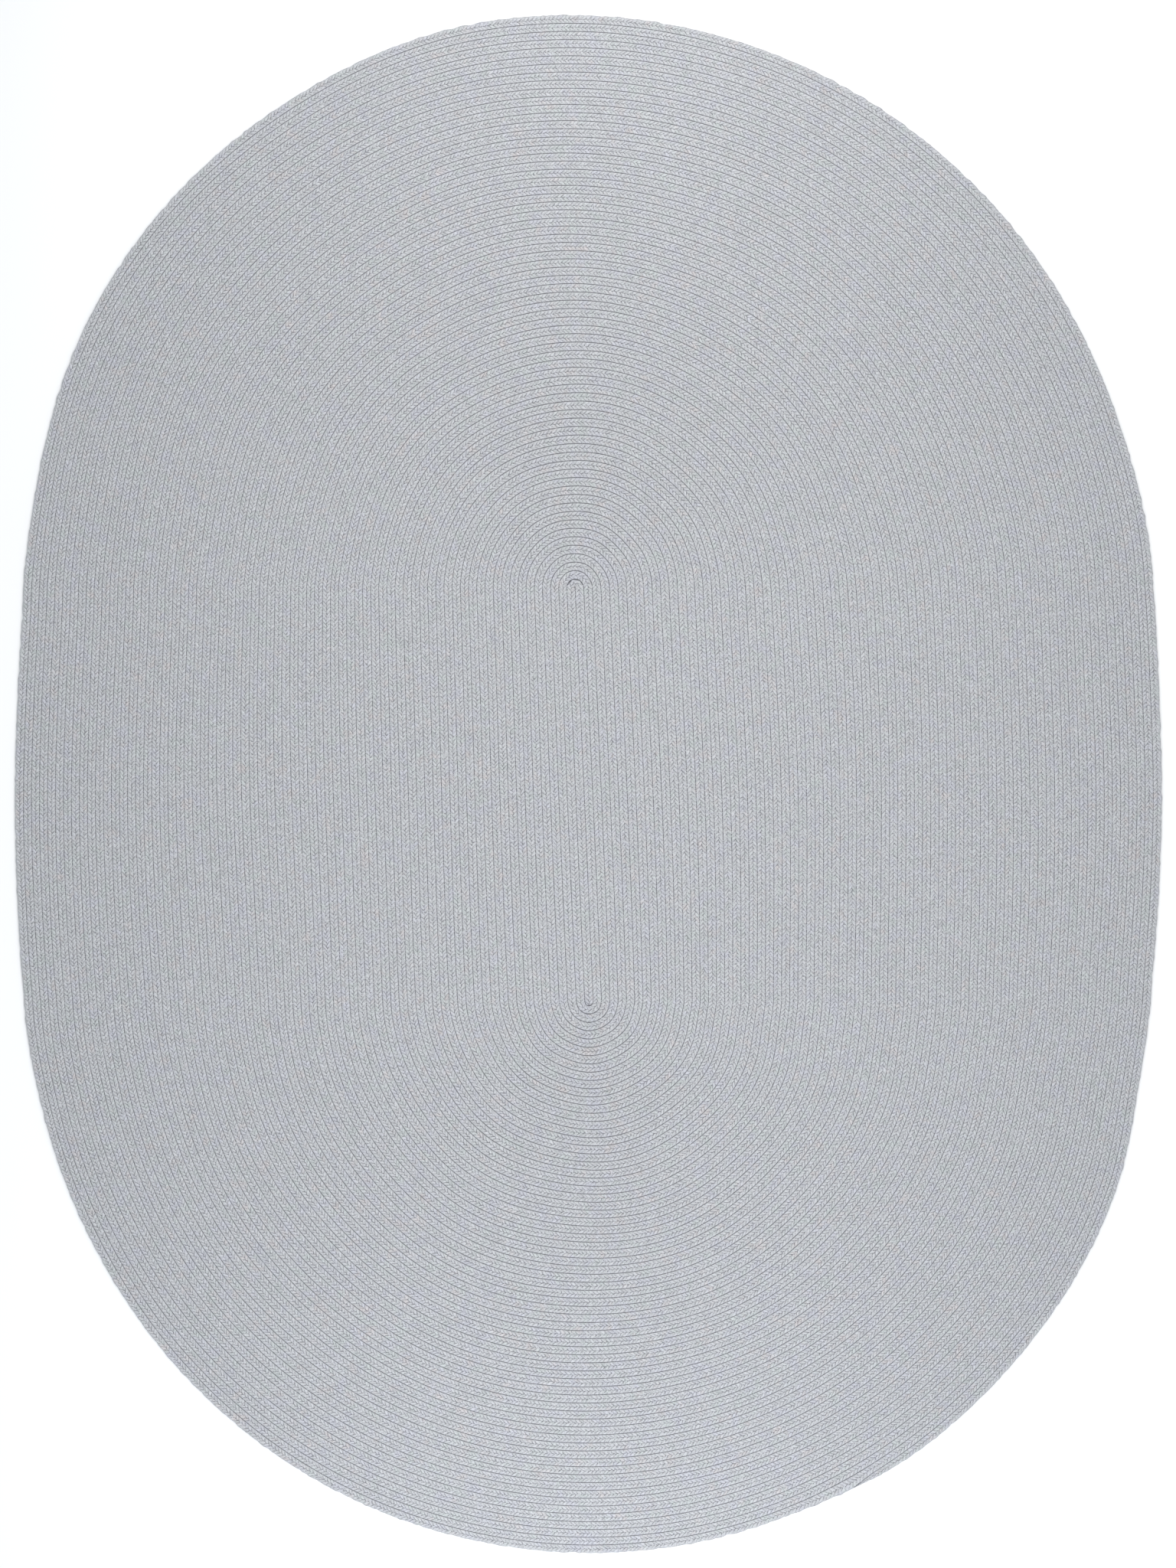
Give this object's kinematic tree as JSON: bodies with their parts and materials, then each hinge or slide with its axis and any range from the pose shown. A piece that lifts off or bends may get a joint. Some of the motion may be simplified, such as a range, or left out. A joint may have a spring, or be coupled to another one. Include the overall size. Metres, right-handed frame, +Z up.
{
  "type": "braided rug",
  "caption": "Large oval floor rug of flat braid, coiled clockwise round a short straight core and sewn edge to edge, lying flat, its thinned tail tucked against the rim.",
  "frame": {"origin": "on the floor, under the middle of the rug", "axes": "+Y along the rug's length towards its top end in the picture, +X across it, +Z up out of the upper face"},
  "size_m": [2.7422, 3.6776, 0.009],
  "materials": {
    "heather_yarn": "matt heathered yarn, pale blue-grey with soft flecks of warmer and greener grey"
  },
  "bodies": {
    "root": {"coiled_braid": "heather_yarn"}
  },
  "joints": []
}
